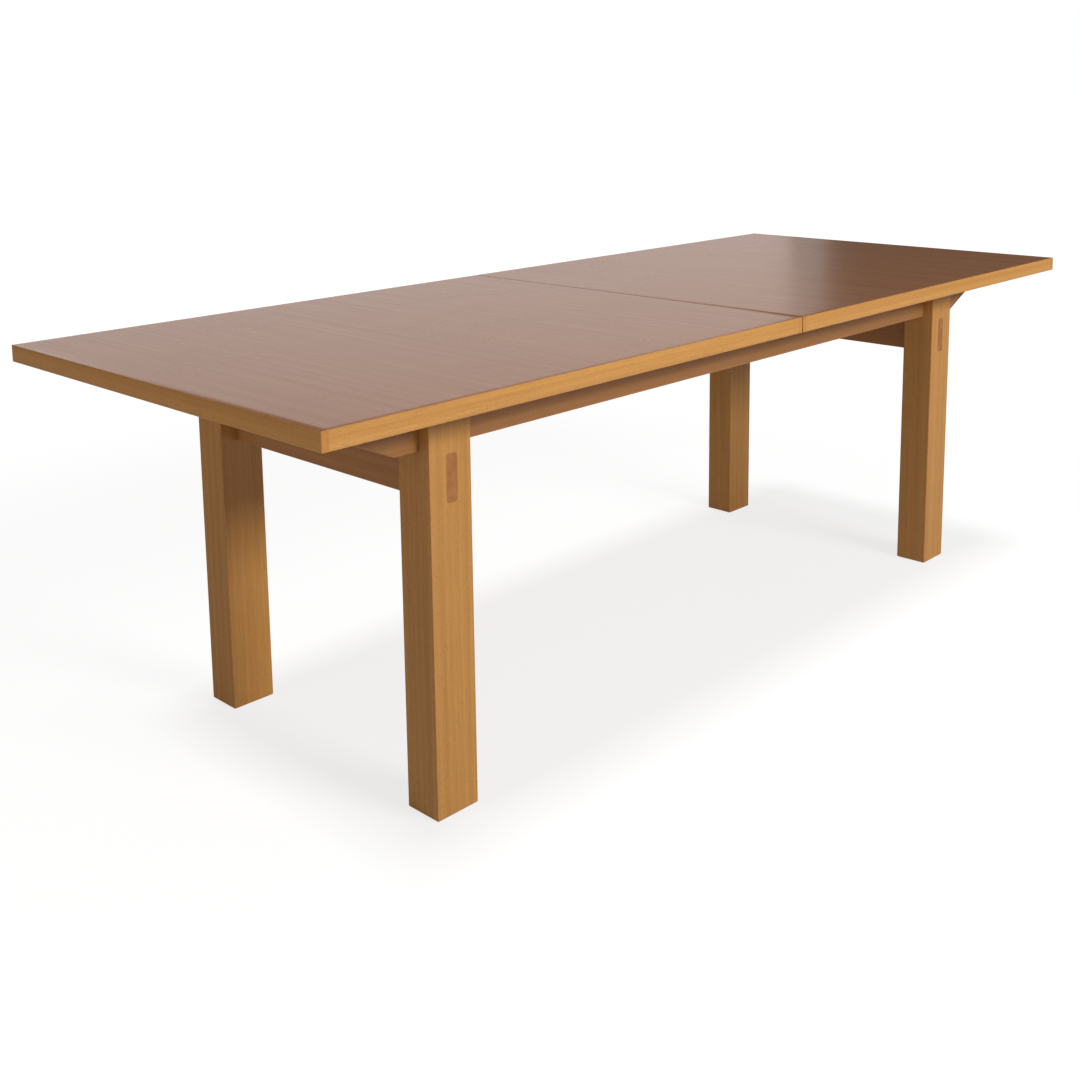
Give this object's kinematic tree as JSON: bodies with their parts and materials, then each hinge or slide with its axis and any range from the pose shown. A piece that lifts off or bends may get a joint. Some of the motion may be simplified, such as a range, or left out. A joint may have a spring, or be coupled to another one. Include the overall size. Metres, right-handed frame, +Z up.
{
  "type": "extendable dining table",
  "caption": "Rectangular wooden dining table whose top splits at the middle and slides apart on a fixed four-legged underframe to take a stored leaf.",
  "frame": {"origin": "on the floor, under the middle of the closed top", "axes": "+X along the length of the table, +Y across it, +Z up"},
  "size_m": [2.3, 0.92, 0.74],
  "materials": {
    "top_veneer": "fine straight-grained veneer across the table, satin lacquer",
    "lipping": "solid wood edge, satin lacquer",
    "leg_wood": "solid wood, grain upright, satin lacquer",
    "rail_wood": "solid wood, grain along the rail, satin lacquer",
    "runner_wood": "waxed hardwood",
    "dowel_wood": "unfinished turned dowel",
    "steel": "zinc-plated steel"
  },
  "bodies": {
    "underframe": {"left_end_rail": "rail_wood", "left_bearer": "rail_wood", "left_leg_front": "leg_wood", "left_leg_bolt_front": "steel", "left_leg_back": "leg_wood", "left_leg_bolt_back": "steel", "right_end_rail": "rail_wood", "right_bearer": "rail_wood", "right_leg_front": "leg_wood", "right_leg_bolt_front": "steel", "right_leg_back": "leg_wood", "right_leg_bolt_back": "steel", "side_rail_front": "rail_wood", "side_rail_back": "rail_wood", "leaf_panel": "top_veneer", "leaf_lipping_left": "lipping", "leaf_lipping_right": "lipping", "leaf_lipping_front": "lipping", "leaf_lipping_back": "lipping", "leaf_dowel_1": "dowel_wood", "leaf_dowel_2": "dowel_wood", "leaf_dowel_3": "dowel_wood"},
    "left_top": {"left_top_panel": "top_veneer", "left_top_lipping_end": "lipping", "left_top_lipping_seam": "lipping", "left_top_lipping_front": "lipping", "left_top_lipping_back": "lipping", "left_runner_front": "runner_wood", "left_stop_front": "runner_wood", "left_screw_front_1": "steel", "left_screw_front_2": "steel", "left_runner_back": "runner_wood", "left_stop_back": "runner_wood", "left_screw_back_1": "steel", "left_screw_back_2": "steel", "lock_plate_front": "steel", "lock_plate_back": "steel"},
    "right_top": {"right_top_panel": "top_veneer", "right_top_lipping_end": "lipping", "right_top_lipping_seam": "lipping", "right_top_lipping_front": "lipping", "right_top_lipping_back": "lipping", "right_runner_front": "runner_wood", "right_stop_front": "runner_wood", "right_screw_front_1": "steel", "right_screw_front_2": "steel", "right_runner_back": "runner_wood", "right_stop_back": "runner_wood", "right_screw_back_1": "steel", "right_screw_back_2": "steel", "right_top_dowel_1": "dowel_wood", "right_top_dowel_2": "dowel_wood", "right_top_dowel_3": "dowel_wood", "lock_keeper_front": "steel", "lock_keeper_back": "steel"},
    "front_lock_lever": {"lock_lever_front": "steel"},
    "back_lock_lever": {"lock_lever_back": "steel"}
  },
  "joints": [
    {"name": "left_top_slide", "type": "slide", "parent": "underframe", "child": "left_top", "axis": [-1, 0, 0], "range_m": [0, 0.24]},
    {"name": "right_top_slide", "type": "slide", "parent": "underframe", "child": "right_top", "axis": [1, 0, 0], "range_m": [0, 0.24]},
    {"name": "front_lock_turn", "type": "hinge", "parent": "left_top", "child": "front_lock_lever", "pos_m": [-0.034, -0.395, 0.7033], "axis": [0, 0, -1], "range_deg": [0, 90]},
    {"name": "back_lock_turn", "type": "hinge", "parent": "left_top", "child": "back_lock_lever", "pos_m": [-0.034, 0.395, 0.7033], "axis": [0, 0, 1], "range_deg": [0, 90]}
  ]
}
